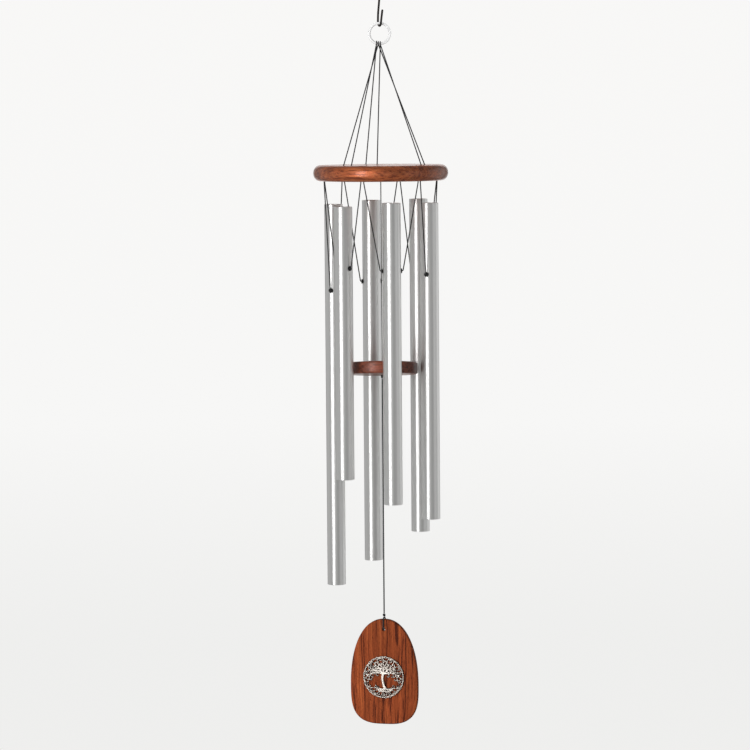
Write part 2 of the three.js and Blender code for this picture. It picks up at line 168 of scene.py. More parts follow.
def ramp(tree, factor, *stops):
    """A colour ramp. A stop is (position, colour), and a number stands for a grey."""
    made = node(tree, "ValToRGB", {"Fac": factor})
    elements = made.color_ramp.elements
    while len(elements) < len(stops):
        elements.new(0.5)
    for element, (position, colour) in zip(elements, stops):
        element.position = position
        element.color = (*(colour if isinstance(colour, tuple) else (colour,) * 3), 1)
    return made.outputs["Color"]


def mix(tree, factor, a, b, mode="MIX"):
    made = node(tree, "Mix", data_type="RGBA", blend_type=mode)
    for index, value in ((0, factor), (6, a), (7, b)):
        if isinstance(value, bpy.types.NodeSocket):
            tree.links.new(value, made.inputs[index])
        elif index:
            made.inputs[index].default_value = (*value, 1)
        else:
            made.inputs[index].default_value = value
    return made.outputs[2]


def noise(tree, vector, scale, detail=2.0, roughness=0.5):
    inputs = {"Vector": vector, "Scale": scale, "Detail": detail, "Roughness": roughness}
    return node(tree, "TexNoise", inputs).outputs["Fac"]


def stretched(tree, vector, factors):
    return node(tree, "VectorMath", {0: vector, 1: factors}, operation="MULTIPLY").outputs["Vector"]


def place(tree, rotation=(0, 0, 0)):
    """The piece's own coordinates in millimetres, turned by rotation."""
    coordinates = node(tree, "TexCoord").outputs["Object"]
    inputs = {"Vector": coordinates, "Rotation": rotation, "Scale": (1 / MM,) * 3}
    return node(tree, "Mapping", inputs).outputs["Vector"]


def relief(tree, shader, height, strength, distance):
    bump = node(tree, "Bump", {"Height": height, "Strength": strength, "Distance": distance})
    tree.links.new(bump.outputs["Normal"], shader.inputs["Normal"])


def spread(tree, value, low, high):
    """value, from 0 to 1, spread evenly from low to high."""
    return node(tree, "MapRange", {"Value": value, "To Min": low, "To Max": high}).outputs["Result"]


def dress(tree, shader, colour, roughness):
    tree.links.new(colour, shader.inputs["Base Color"])
    tree.links.new(roughness, shader.inputs["Roughness"])


# ---- materials ------------------------------------------------------------------------------------

def wood(name, dark, base, light, grain, pitch, drift, gloss, rough, coat, glow=0.0):
    """Stained hardwood. grain turns the coordinates so that the fibres run along Z, pitch is between streaks,
    and glow is how much the fibres throw light back in their own colour, as polished figure does."""
    material, tree, shader = new_material(
        name, Coat_Weight=coat, Coat_Roughness=0.18, Specular_IOR_Level=gloss, Metallic=glow,
    )
    at = place(tree, grain)
    bend = node(tree, "TexNoise", {"Vector": stretched(tree, at, (1, 1, 0.5)), "Scale": 0.035, "Detail": 1.0})
    warped = node(
        tree, "VectorMath", {0: bend.outputs["Color"], 1: (drift, drift, 0), 2: at}, operation="MULTIPLY_ADD"
    ).outputs["Vector"]
    broad = noise(tree, stretched(tree, warped, (1, 1, 0.03)), 0.8 / pitch, 2)
    streaks = noise(tree, stretched(tree, warped, (1, 1, 0.022)), 2.2 / pitch, 2.5, 0.6)
    lines = noise(tree, stretched(tree, warped, (1, 1, 0.02)), 6 / pitch, 2)
    fibres = noise(tree, stretched(tree, at, (1, 1, 0.04)), 4.5, 3)
    pores = noise(tree, stretched(tree, at, (1, 1, 0.09)), 3.2, 1)
    colour = ramp(tree, streaks, (0.38, dark), (0.475, base), (0.56, base), (0.68, light))
    colour = mix(tree, 0.8, colour, ramp(tree, broad, (0.35, 0.72), (0.62, 1.1)), "MULTIPLY")
    colour = mix(tree, 0.6, colour, ramp(tree, lines, (0.36, 0.66), (0.56, 1.08)), "MULTIPLY")
    colour = mix(tree, 0.5, colour, ramp(tree, fibres, (0.35, 0.7), (0.6, 1.08)), "MULTIPLY")
    normal = node(tree, "TexCoord").outputs["Normal"]
    turned = node(tree, "Mapping", {"Vector": normal, "Rotation": grain}).outputs["Vector"]
    along = node(tree, "SeparateXYZ", {"Vector": turned}).outputs["Z"]
    end_grain = node(tree, "Math", {0: along}, operation="ABSOLUTE").outputs[0]
    colour = mix(tree, 1.0, colour, ramp(tree, end_grain, (0.2, 1.0), (0.9, 0.5)), "MULTIPLY")
    pits = ramp(tree, pores, (0.61, 0.0), (0.70, 1.0))
    deep = tuple(0.4 * c for c in dark)
    colour = mix(tree, node(tree, "Math", {0: pits, 1: 0.6}, operation="MULTIPLY").outputs[0], colour, deep)
    dress(tree, shader, colour, spread(tree, fibres, rough - 0.07, rough + 0.10))
    height = node(tree, "Math", {0: fibres, 1: 0.4, 2: lines}, operation="MULTIPLY_ADD").outputs[0]
    height = node(tree, "Math", {0: height, 1: pits}, operation="SUBTRACT").outputs[0]
    relief(tree, shader, height, 0.5, 0.08 * MM)
    return material


def aluminium():
    """Satin drawn tube: fine lines run down it, and its highlights are narrow across and long down it."""
    material, tree, shader = new_material(
        "satin_aluminium", Metallic=1.0, Anisotropic=0.7, Anisotropic_Rotation=0.25,
    )
    at = place(tree)
    lines = noise(tree, stretched(tree, at, (1, 1, 0.001)), 1.6, 3, 0.6)
    fine = noise(tree, stretched(tree, at, (1, 1, 0.01)), 5.0, 2)
    tone = ramp(tree, lines, (0.3, (0.79, 0.79, 0.78)), (0.7, (0.89, 0.89, 0.88)))
    colour = mix(tree, 0.4, tone, ramp(tree, fine, (0.3, 0.92), (0.7, 1.0)), "MULTIPLY")
    dress(tree, shader, colour, spread(tree, lines, 0.42, 0.48))
    tangent = node(tree, "Tangent", direction_type="RADIAL", axis="Z")
    tree.links.new(tangent.outputs["Tangent"], shader.inputs["Tangent"])
    relief(tree, shader, lines, 0.02, 0.02 * MM)
    return material


def wire(name, colour, worn, metallic, rough, scratch, **more):
    """Plated or painted wire with faint rubbed patches."""
    material, tree, shader = new_material(name, Metallic=metallic, **more)
    at = place(tree)
    patches = noise(tree, at, 0.45, 4, 0.6)
    scuffs = noise(tree, stretched(tree, at, (1, 1, 0.2)), 5.0, 3)
    tone = ramp(tree, patches, (0.45, colour), (0.75, worn))
    rubbed = mix(tree, 0.3, tone, ramp(tree, scuffs, (0.3, 0.8), (0.6, 1.0)), "MULTIPLY")
    dress(tree, shader, rubbed, spread(tree, patches, rough - 0.05, rough + 0.12))
    relief(tree, shader, scuffs, scratch, 0.02 * MM)
    return material


def braided_cord(name, dark, pale):
    """Braided polyester: the braid is in the mesh, and the filaments and lint are here."""
    material, tree, shader = new_material(
        name, Sheen_Weight=0.25, Sheen_Roughness=0.5, Specular_IOR_Level=0.3,
    )
    at = place(tree)
    filaments = noise(tree, at, 7.0, 3, 0.6)
    lint = noise(tree, at, 1.1, 2)
    colour = ramp(tree, filaments, (0.3, dark), (0.7, pale))
    colour = mix(tree, 0.5, colour, ramp(tree, lint, (0.35, 0.7), (0.65, 1.1)), "MULTIPLY")
    dress(tree, shader, colour, spread(tree, filaments, 0.62, 0.88))
    relief(tree, shader, filaments, 0.5, 0.05 * MM)
    return material


def moulded_rubber():
    """Matt black rubber with a little dust on it."""
    material, tree, shader = new_material("black_rubber", Specular_IOR_Level=0.4)
    at = place(tree)
    skin = noise(tree, at, 9.0, 2)
    dust = noise(tree, at, 1.5, 3)
    dress(tree, shader, ramp(tree, dust, (0.4, 0.006), (0.8, 0.02)), spread(tree, dust, 0.45, 0.65))
    relief(tree, shader, skin, 0.25, 0.03 * MM)
    return material


def antique_silver():
    """Antiqued casting, bright where it faces front and stands proud; dark flanks are patina and painted
    shade.
    """
    material, tree, shader = new_material("antique_silver", Metallic=1.0)
    at = place(tree)
    proud = node(tree, "Attribute", attribute_name="proud").outputs["Fac"]
    grain = noise(tree, at, 2.6, 4, 0.6)
    pits = noise(tree, at, 7.0, 2)
    level = node(tree, "Math", {0: grain, 1: 0.2, 2: proud}, operation="MULTIPLY_ADD").outputs[0]
    black, warm, bright = (0.012, 0.008, 0.006), (0.14, 0.105, 0.08), (0.72, 0.66, 0.60)
    # The black end is the casting's patina together with painted shade down the flanks and in the gaps
    # between limbs.
    colour = ramp(tree, level, (0.62, black), (0.76, warm), (0.90, bright))
    dress(tree, shader, colour, spread(tree, grain, 0.38, 0.55))
    relief(tree, shader, pits, 0.3, 0.05 * MM)
    return material


CANOPY_WOOD = wood(
    "canopy_wood", (0.34, 0.072, 0.022), (0.69, 0.170, 0.054), (0.82, 0.260, 0.088),
    grain=(-QUARTER, math.radians(110), math.radians(12)), pitch=4, drift=7,
    gloss=0.4, rough=0.37, coat=0.45, glow=0.5,
)
STRIKER_WOOD = wood(
    "striker_wood", (0.15, 0.032, 0.016), (0.34, 0.080, 0.037), (0.44, 0.124, 0.056),
    grain=(0, QUARTER, math.radians(-25)), pitch=5, drift=8,
    gloss=0.45, rough=0.36, coat=0.10, glow=0.1,
)
SAIL_WOOD = wood(
    "sail_wood", (0.13, 0.026, 0.012), (0.47, 0.100, 0.032), (0.64, 0.154, 0.046),
    grain=(0, 0, 0), pitch=4.2, drift=9,
    gloss=0.05, rough=0.55, coat=0,
)
ALUMINIUM = aluminium()
BRIGHT_WIRE = wire(
    "bright_wire", (0.96, 0.96, 0.96), (0.93, 0.93, 0.93),
    metallic=0, rough=0.25, scratch=0.02, Coat_Weight=0.5,
)
DARK_WIRE = wire(
    "dark_wire", (0.012, 0.008, 0.007), (0.04, 0.028, 0.022),
    metallic=0.2, rough=0.42, scratch=0.2, Specular_IOR_Level=0.3,
)
CORD_DARK = braided_cord("cord_dark", (0.010, 0.010, 0.011), (0.045, 0.045, 0.048))
RUBBER = moulded_rubber()
SILVER = antique_silver()


# ---- mesh helpers ---------------------------------------------------------------------------------

def arc(centre, radius, a, b, steps):
    """Points on an arc in a plane, from angle a to angle b in degrees."""
    angles = [math.radians(a + (b - a) * i / steps) for i in range(steps + 1)]
    return [(centre[0] + radius * math.cos(t), centre[1] + radius * math.sin(t)) for t in angles]


def polar(radius, angle, z=0.0):
    return Vector((radius * math.cos(angle), radius * math.sin(angle), z))


def lathe(profile, segments, closed=False):
    """A bmesh turned about Z from (radius, z) pairs. A pair on the axis makes a pole, and a closed profile
    joins its last pair to its first."""
    bm = bmesh.new()
    rings = []
    for radius, z in profile:
        if radius == 0:
            rings.append([bm.verts.new((0, 0, z))])
        else:
            turns = [2 * math.pi * i / segments for i in range(segments)]
            rings.append([bm.verts.new(polar(radius, turn, z)) for turn in turns])
    pairs = list(zip(rings, rings[1:]))
    if closed:
        pairs.append((rings[-1], rings[0]))
    for low, high in pairs:
        for i in range(segments):
            j = (i + 1) % segments
            corners = [low[i % len(low)], low[j % len(low)], high[j % len(high)], high[i % len(high)]]
            bm.faces.new(list(dict.fromkeys(corners)))
    bmesh.ops.recalc_face_normals(bm, faces=bm.faces)
    return bm


def frames_along(points):
    """A tangent and two directions square to it at each point, carried along without twist."""
    last = len(points) - 1
    tangents = [(points[min(i + 1, last)] - points[max(i - 1, 0)]).normalized() for i in range(last + 1)]
    side = tangents[0].orthogonal().normalized()
    made = []
    for tangent in tangents:
        side = (side - tangent * side.dot(tangent)).normalized()
        made.append((tangent, side, tangent.cross(side)))
    return made


def sweep(points, radius, sides, loop=False):
    """A bmesh tube along points. radius(i, angle) gives the section, and an open tube is capped."""
    bm = bmesh.new()
    rings = []
    for i, (point, (_, side, up)) in enumerate(zip(points, frames_along(points))):
        ring = []
        for k in range(sides):
            angle = 2 * math.pi * k / sides
            reach = radius(i, angle)
            across = side * (reach * math.cos(angle))
            ring.append(bm.verts.new(point + across + up * (reach * math.sin(angle))))
        rings.append(ring)
    for low, high in zip(rings, rings[1:]):
        for k in range(sides):
            m = (k + 1) % sides
            bm.faces.new((low[k], low[m], high[m], high[k]))
    if loop:
        bmesh.ops.bridge_loops(bm, edges=[e for e in bm.edges if e.is_boundary])
    else:
        bm.faces.new(rings[0][::-1])
        bm.faces.new(rings[-1])
    bmesh.ops.recalc_face_normals(bm, faces=bm.faces)
    return bm


def evenly(points, step):
    """Points along a polyline at an even spacing near step, ends included."""
    lengths = [(b - a).length for a, b in zip(points, points[1:])]
    count = max(2, round(sum(lengths) / step))
    spacing = sum(lengths) / count
    made, leg, start = [], 0, 0.0
    for i in range(count + 1):
        target = min(i * spacing, sum(lengths))
        while leg < len(lengths) - 1 and start + lengths[leg] < target:
            start += lengths[leg]
            leg += 1
        made.append(points[leg].lerp(points[leg + 1], min(1.0, (target - start) / lengths[leg])))
    return made


def rounded(points, per_leg=6):
    """A smooth line through points, by Catmull-Rom."""
    made = []
    for i in range(len(points) - 1):
        a, b, c, d = (points[min(max(k, 0), len(points) - 1)] for k in (i - 1, i, i + 1, i + 2))
        for k in range(per_leg):
            t = k / per_leg
            square = 2 * a - 5 * b + 4 * c - d
            cube = 3 * b - a - 3 * c + d
            made.append(0.5 * (2 * b + (c - a) * t + square * t**2 + cube * t**3))
    return made + [points[-1]]


def to_object(name, bm, material, sharp=35):
    """A new object made from bm, with edges over sharp degrees kept crisp."""
    mesh = bpy.data.meshes.new(name)
    bm.to_mesh(mesh)
    bm.free()
    mesh.shade_smooth()
    mesh.set_sharp_from_angle(angle=math.radians(sharp))
    mesh.materials.append(material)
    made = bpy.data.objects.new(name, mesh)
    bpy.context.scene.collection.objects.link(made)
    return made


def settle(obj):
    """Applies the object's modifiers to its mesh."""
    graph = bpy.context.evaluated_depsgraph_get()
    mesh = bpy.data.meshes.new_from_object(obj.evaluated_get(graph))
    obj.modifiers.clear()
    old, obj.data = obj.data, mesh
    bpy.data.meshes.remove(old)


def join(bm, part):
    """Moves the bmesh part into bm."""
    mesh = bpy.data.meshes.new("part")
    part.to_mesh(mesh)
    part.free()
    bm.from_mesh(mesh)
    bpy.data.meshes.remove(mesh)


def cut(obj, cutters, sharp=35):
    """Takes the cutters, a list of bmeshes that don't touch each other, out of obj."""
    joined = bmesh.new()
    for cutter in cutters:
        join(joined, cutter)
    tool = to_object("cutter", joined, None)
    modifier = obj.modifiers.new("cut", "BOOLEAN")
    modifier.object = tool
    modifier.operation = "DIFFERENCE"
    modifier.solver = "EXACT"
    settle(obj)
    bpy.data.objects.remove(tool)
    obj.data.shade_smooth()
    obj.data.set_sharp_from_angle(angle=math.radians(sharp))


def drill(radius, low, high, at=(0, 0, 0), turn=None):
    """A cutter: a round bar along Z from low to high, then turned and moved."""
    bar = lathe([(0, low), (radius, low), (radius, high), (0, high)], 32)
    bar.transform(Matrix.Translation(at) @ (turn or Matrix.Identity(4)))
    return bar


def piece(obj, body, slot, *nodes):
    """obj rides on body and stands for the CAD nodes, which it hides. slot is not used."""
    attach(obj, body)
    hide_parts(*nodes)
    return obj


# ---- cords ----------------------------------------------------------------------------------------

def braid(diameter, phase_step):
    """The section of a round braid: two sets of strands that cross as they wind round the cord."""
    strands = 4

    def radius(i, angle):
        turn = i * phase_step
        ridge = max(math.cos(strands * angle + turn), math.cos(strands * angle - turn))
        return diameter / 2 * (0.955 + 0.055 * ridge)

    return radius


def cord_object(name, route, diameter):
    points = evenly(route, BRAID_STEP)
    return to_object(name, sweep(points, braid(diameter, BRAID_TURN), 14), CORD_DARK, 80), points


def free_cord(name, body, route, diameter, node_name):
    """A cord that the chime holds taut between two of its pieces."""
    obj, points = cord_object(name, route, diameter)
    piece(obj, body, "cord", node_name)


def suspension_holes(bearing):
    """The two canopy holes of one attachment, first the one at the larger bearing."""
    angle = math.radians(bearing)
    centre = polar(SUSPENSION["radius"], angle)
    sideways = polar(SUSPENSION["spread"] / 2, angle + QUARTER)
    return centre + sideways, centre - sideways


def suspension_cord(number, x, first, second):
    """Up from the first hole, over the ring's lower wire from its front, and down to the second hole."""
    wire_middle = RING_CENTRE - math.sqrt(RING_RADIUS**2 - x**2)
    around = RING_WIRE / 2 + GAP + CORD / 2
    over = [Vector((x, y, z)) for y, z in arc((0, wire_middle), around, 190, -10, 24)]
    foot = CANOPY_BOTTOM + POCKET["depth"] + GAP

    def leg(hole):
        return [Vector((hole.x, hole.y, CANOPY_TOP)), Vector((hole.x, hole.y, foot))]

    name = f"suspension_cord_{number}"
    free_cord(name + "_braid", "canopy", leg(first)[::-1] + over + leg(second), CORD, name)


def suspension_cords():
    right, rear, left = (suspension_holes(bearing) for bearing in SUSPENSION["bearings"])
    suspension_cord(1, RING_PASSES[0], left[0], rear[0])
    suspension_cord(2, RING_PASSES[1], left[1], right[0])
    suspension_cord(3, RING_PASSES[2], right[1], rear[1])


def stations():
    """Each tube's number, length, drop from the canopy, and the frame of its top: x outwards, y sideways."""
    for i in range(TUBE_COUNT):
        low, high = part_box(f"tube_{i + 1}")
        angle = FIRST_TUBE - STEP * i
        place_at = Matrix.Translation(polar(TUBE_CIRCLE, angle, high.z)) @ Matrix.Rotation(angle, 4, "Z")
        yield i + 1, high.z - low.z, CANOPY_BOTTOM - high.z, place_at


def tube_cord(number, length, drop, station):
    """A V: down from one canopy hole, through both grommets and back up to the next canopy hole."""
    depth = TUBE_NODE * length
    rise = drop + depth
    mouth = tube_radius() + GAP + GROMMET["lip_thickness"]
    turn = [Vector((0, y, z)) for y, z in arc((mouth, CORD), CORD, 0, -90, 8)]
    leg = [Vector((0, CORD_SPLAY, rise + CORD_END)), Vector((0, CORD_SPLAY, rise - CORD)), *turn]
    mirrored = [Vector((0, -p.y, p.z)) for p in reversed(leg)]
    at_holes = station @ Matrix.Translation((0, 0, -depth))
    name = f"tube_cord_{number}"
    free_cord(name + "_braid", name, [at_holes @ p for p in leg + mirrored], CORD, name)


def tube_radius():
    low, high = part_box("tube_1")
    return (high.x - low.x) / 2


def straight_cord(name, diameter):
    low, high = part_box(name)
    route = [Vector((0, 0, high.z)), Vector((0, 0, low.z))]
    free_cord(name + "_braid", name, route, diameter, name)


def all_cords():
    suspension_cords()
    for number, length, drop, station in stations():
        tube_cord(number, length, drop, station)
    straight_cord("centre_cord", CENTRE_CORD)
    straight_cord("sail_cord", SAIL_CORD)


all_cords()


def sail_frame(z=0.0):
    return Matrix.Rotation(SAIL["yaw"], 4, "Z") @ Matrix.Translation((0, 0, z))


def sail_loop():
    """From the knot, down the front face, through the hole and up the back face."""
    out = SAIL["thickness"] / 2 + GAP + SAIL_CORD / 2
    shoulder = [(y * MM, SAIL_TOP + z * MM) for y, z in LOOP_SHOULDER]
    side = shoulder + arc((out - SAIL_CORD, SAIL_HOLE_Z + SAIL_CORD), SAIL_CORD, 0, -90, 6)
    other = [(-y, z) for y, z in reversed(side)]
    route = [sail_frame() @ Vector((0, y, z)) for y, z in side + other]
    obj, _ = cord_object("sail_loop_braid", rounded(evenly(route, 0.8 * MM), 3), SAIL_CORD)
    piece(obj, "sail_loop", "cord", "sail_loop")


# ---- knots ----------------------------------------------------------------------------------------

def overhand(size, thickness, turns=2):
    """The line of a pulled overhand knot: a trefoil whose cord fills a box of that size."""
    count = 150
    points = []
    for i in range(count):
        t = 2 * math.pi * i / count
        points.append(polar(2 + math.cos(3 * t), turns * t, 1.3 * math.sin(3 * t)))
    spread_now = [max(p[k] for p in points) - min(p[k] for p in points) for k in range(3)]
    scale = [(size[k] - thickness) / spread_now[k] for k in range(3)]
    return [Vector(p[k] * scale[k] for k in range(3)) for p in points]


def knot_mesh(size, thickness, heart):
    """A knot as one bmesh: the trefoil's cord round a ball, heart times its size, that fills its middle."""
    line = overhand(size, thickness)
    bm = sweep(line, braid(thickness, 1.0), 12, loop=True)
    ball = bmesh.new()
    bmesh.ops.create_icosphere(ball, subdivisions=3, radius=0.5)
    ball.transform(Matrix.Diagonal((*(heart * side for side in size), 1)))
    join(bm, ball)
    return bm


def knot(node_name, body, thickness, turn, tails=(), head=None):
    """A knot in the CAD knot's place. Where that is taller than the knot itself, head is the knot's own
    height, and tails are the offsets of the cords that run down from it."""
    low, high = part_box(node_name)
    head_low = high.z - head if head else low.z
    centre = Vector(((low.x + high.x) / 2, (low.y + high.y) / 2, (high.z + head_low) / 2))
    size = high - low
    size.z = high.z - head_low
    bm = knot_mesh(size, thickness, heart=0.62)
    bm.transform(Matrix.Rotation(turn, 4, "Z"))
    for x, y in tails:
        line = evenly([Vector((x, y, 0)), Vector((x, y, low.z - centre.z))], BRAID_STEP)
        join(bm, sweep(line, braid(thickness, BRAID_TURN), 12))
    bm.transform(Matrix.Translation(centre))
    piece(to_object(node_name + "_tied", bm, CORD_DARK, 80), body, "cord", node_name)


def pocket_knot(number, bearing):
    """Two cord ends tied together in the slot under the canopy, longer than it is wide."""
    name = f"suspension_knot_{number}"
    low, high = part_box(name)
    size = Vector((POCKET["width"] - 2 * GAP, POCKET["length"] - 4 * GAP, high.z - low.z))
    bm = knot_mesh(size, CORD, heart=0.6)
    bm.transform(Matrix.Translation((low + high) / 2) @ Matrix.Rotation(math.radians(bearing), 4, "Z"))
    piece(to_object(name + "_tied", bm, CORD_DARK, 80), "canopy", "cord", name)


def all_knots():
    for number, bearing in enumerate(SUSPENSION["bearings"], 1):
        pocket_knot(number, bearing)
    apart = 0.8 * MM  # from a canopy hole's middle to each of the two cords in it
    for i in range(TUBE_COUNT):
        angle = TUBE_HOLES["first"] + STEP * i
        side = polar(apart, angle + QUARTER)
        tails = [(side.x, side.y), (-side.x, -side.y)]
        knot(f"tube_cord_knot_{i + 1}", "canopy", 1.1 * MM, angle, tails, head=4 * MM)
    knot("centre_knot", "centre_knot", CENTRE_CORD, 0.4, [(0, 0)], head=3.4 * MM)
    knot("striker_knot", "striker_knot", 1.0 * MM, turn=0.3)
    knot("sail_knot", "sail_knot", 1.1 * MM, turn=0.9)


# ---- hook and ring --------------------------------------------------------------------------------

def round_ended(points, radius, steps=5):
    """points with a few more close to each end, and the radius at each of them that rounds the ends off."""
    def end(first, second):
        reach = (second - first).normalized() * radius
        angles = [QUARTER * (k + 0.3) / steps for k in range(steps)]
        return [(first + reach * (1 - math.cos(t)), radius * math.sin(t)) for t in angles]

    made = end(points[0], points[1]) + [(p, radius) for p in points[1:-1]] + end(points[-1], points[-2])[::-1]
    return [p for p, _ in made], [r for _, r in made]


def s_hook():
    wire_radius = HOOK["wire"] / 2
    height = (HOOK_HIGHEST - HOOK_BOTTOM - HOOK["wire"]) / MM

    def half(shape):
        bend = shape["bend"]
        return [*shape["tip"], *arc((0, bend), bend, 0, -180, 10), *shape["shaft"]]

    outline = half(HOOK_LOWER) + [(0, height / 2)] + [(-p, height - z) for p, z in reversed(half(HOOK_UPPER))]
    across = polar(MM, HOOK["yaw"] - QUARTER)
    route = [Vector((across.x * p, across.y * p, HOOK_BOTTOM + wire_radius + z * MM)) for p, z in outline]
    points, radii = round_ended(evenly(rounded(route, 5), wire_radius + 0.2 * MM), wire_radius)
    obj = to_object("bent_wire_hook", sweep(points, lambda i, _angle: radii[i], 20), DARK_WIRE, 60)
    piece(obj, "hook", "dark_wire", "s_hook")


def hanging_ring():
    section = arc((RING_RADIUS, 0), RING_WIRE / 2, 0, 360, 24)[:-1]
    bm = lathe(section, 128, closed=True)
    bm.transform(Matrix.Translation((0, 0, RING_CENTRE)) @ Matrix.Rotation(QUARTER, 4, "X"))
    return piece(to_object("plated_ring", bm, BRIGHT_WIRE, 60), "ring", "bright_wire", "hanging_ring")


# ---- canopy ---------------------------------------------------------------------------------------

def stepped_hole(at, hole, recess, depth):
    """A through hole with a wider recess sunk in the top face, its rim slightly eased."""
    ease = 0.25 * MM
    floor = CANOPY_TOP - depth
    under, over = CANOPY_BOTTOM - PAST, CANOPY_TOP + PAST
    profile = [
        (0, under), (hole + ease + PAST, under), (hole, CANOPY_BOTTOM + ease), (hole, floor),
        (recess, floor), (recess, CANOPY_TOP - ease), (recess + ease + PAST, over), (0, over),
    ]
    bm = lathe(profile, 40)
    bm.transform(Matrix.Translation((at.x, at.y, 0)))
    return bm


def slot_cutter(bearing):
    """A pocket with round ends under the canopy, for one pair of tied cord ends."""
    angle = math.radians(bearing)
    bm = bmesh.new()
    half = POCKET["width"] / 2
    run = POCKET["length"] / 2 - half
    ends = arc((0, run), half, 0, 180, 14) + arc((0, -run), half, 180, 360, 14)
    low, high = CANOPY_BOTTOM - PAST, CANOPY_BOTTOM + POCKET["depth"]
    face = bm.faces.new([bm.verts.new((x, y, low)) for x, y in ends])
    grown = bmesh.ops.extrude_face_region(bm, geom=[face])["geom"]
    for v in grown:
        if isinstance(v, bmesh.types.BMVert):
            v.co.z = high
    bmesh.ops.recalc_face_normals(bm, faces=bm.faces)
    centre = polar(SUSPENSION["radius"], angle)
    bm.transform(Matrix.Translation(centre) @ Matrix.Rotation(angle, 4, "Z"))
    return bm


def canopy():
    """A turned disc whose edge is half an ellipse, drilled for its cords."""
    half = (CANOPY_TOP - CANOPY_BOTTOM) / 2
    across = CANOPY_RADIUS - CANOPY_EDGE
    turn = arc((0, 0), 1, -90, 90, 28)
    rim = [(across + CANOPY_EDGE * x, CANOPY_BOTTOM + half + half * z) for x, z in turn]
    obj = to_object("turned_canopy", lathe([(0, CANOPY_BOTTOM), *rim, (0, CANOPY_TOP)], 192), CANOPY_WOOD)
    cutters = [stepped_hole(Vector((0, 0, 0)), *CENTRE_HOLE.values())]
    for i in range(TUBE_COUNT):
        at = polar(TUBE_HOLES["radius"], TUBE_HOLES["first"] + STEP * i)
        cutters.append(stepped_hole(at, TUBE_HOLES["hole"], TUBE_HOLES["recess"], TUBE_HOLES["depth"]))
    cut(obj, cutters)
    cut(obj, [slot_cutter(bearing) for bearing in SUSPENSION["bearings"]])
    holes = [hole for bearing in SUSPENSION["bearings"] for hole in suspension_holes(bearing)]
    low, high = CANOPY_BOTTOM - PAST, CANOPY_TOP + PAST
    cut(obj, [drill(SUSPENSION["hole"], low, high, hole) for hole in holes])
    piece(obj, "canopy", "canopy_wood", "canopy")


# ---- striker --------------------------------------------------------------------------------------

def striker():
    """A turned disc with rounded edges and a hole for its cord, tipped as it hangs in the photograph."""
    radius, edge, hole = STRIKER["radius"], STRIKER["edge"], STRIKER["hole"]
    half = STRIKER["thickness"] / 2
    ease = 0.4 * MM
    profile = [
        (hole, -half + ease), (hole + ease, -half),
        *arc((radius - edge, -half + edge), edge, -90, 0, 8),
        *arc((radius - edge, half - edge), edge, 0, 90, 8),
        (hole + ease, half), (hole, half - ease),
    ]
    bm = lathe(profile, 144, closed=True)
    bm.transform(Matrix.Translation((0, 0, STRIKER_MIDDLE)) @ Matrix.Rotation(STRIKER["tilt"], 4, "X"))
    piece(to_object("turned_striker", bm, STRIKER_WOOD), "striker", "striker_wood", "striker")


# ---- tubes ----------------------------------------------------------------------------------------

def rounded_rim(inner, outer, z, ease, up):
    """The profile across a tube's end, from its inner wall to its outer wall, with eased corners."""
    sign = 1 if up else -1
    start = arc((inner + ease, 0), ease, 180, 90, 4)
    end = arc((outer - ease, 0), ease, 90, 0, 4)
    return [(r, z + sign * (h - ease)) for r, h in start + end]


def tube(number, length, station):
    """An open tube with eased ends, drilled across for its cord."""
    outer = tube_radius()
    inner = outer - TUBE_WALL
    ease = 0.22 * MM
    depth = TUBE_NODE * length
    clear = 3 * MM
    near = [-depth - clear, -depth + clear]  # rings of vertices that keep the drilled faces short
    profile = rounded_rim(inner, outer, 0, ease, True)
    profile += [(outer, z) for z in reversed(near)]
    profile += rounded_rim(inner, outer, -length, ease, False)[::-1]
    profile += [(inner, z) for z in near]
    name = f"tube_{number}"
    obj = to_object(name + "_brushed", lathe(profile, 96, closed=True), ALUMINIUM, 50)
    sideways = Matrix.Rotation(QUARTER, 4, "X")
    reach = outer + 4 * MM
    cut(obj, [drill(TUBE_HOLE, -reach, reach, (0, 0, -depth), sideways)], 50)
    obj.data.transform(station)
    piece(obj, name, "satin_aluminium", name)


def grommet(number, side_name, side, depth, station):
    """A moulded bush whose lips follow the tube's curve, inside and out."""
    outer_radius = tube_radius()
    bore, neck, lip, thick = (GROMMET[key] for key in ("bore", "neck", "lip", "lip_thickness"))
    inner = math.sqrt((outer_radius - TUBE_WALL) ** 2 - lip**2) - GAP
    outer = outer_radius + GAP
    round_off = thick / 2
    inner_ease, outer_ease = 0.15 * MM, 0.2 * MM
    outer_lip = arc((lip - round_off, outer + round_off), round_off, -90, 90, 8)
    inner_lip = arc((lip - round_off, inner - round_off), round_off, -90, 90, 8)
    profile = [(bore, inner - thick + inner_ease), (bore + inner_ease, inner - thick), *inner_lip]
    profile += [(neck, inner), (neck, outer), *outer_lip]
    profile += [(bore + outer_ease, outer + thick), (bore, outer + thick - outer_ease)]
    bm = lathe(profile, 40, closed=True)
    bm.transform(Matrix.Rotation(-QUARTER * side, 4, "X"))
    for v in bm.verts:
        v.co.y += side * (math.sqrt(outer_radius**2 - v.co.x**2) - outer_radius)
    bm.transform(station @ Matrix.Translation((0, 0, -depth)))
    name = f"grommet_{number}_{side_name}"
    piece(to_object(name + "_moulded", bm, RUBBER), f"tube_{number}", "black_rubber", name)


def all_tubes():
    for number, length, _drop, station in stations():
        tube(number, length, station)
        grommet(number, "left", 1, TUBE_NODE * length, station)
        grommet(number, "right", -1, TUBE_NODE * length, station)


# ---- sail -----------------------------------------------------------------------------------------

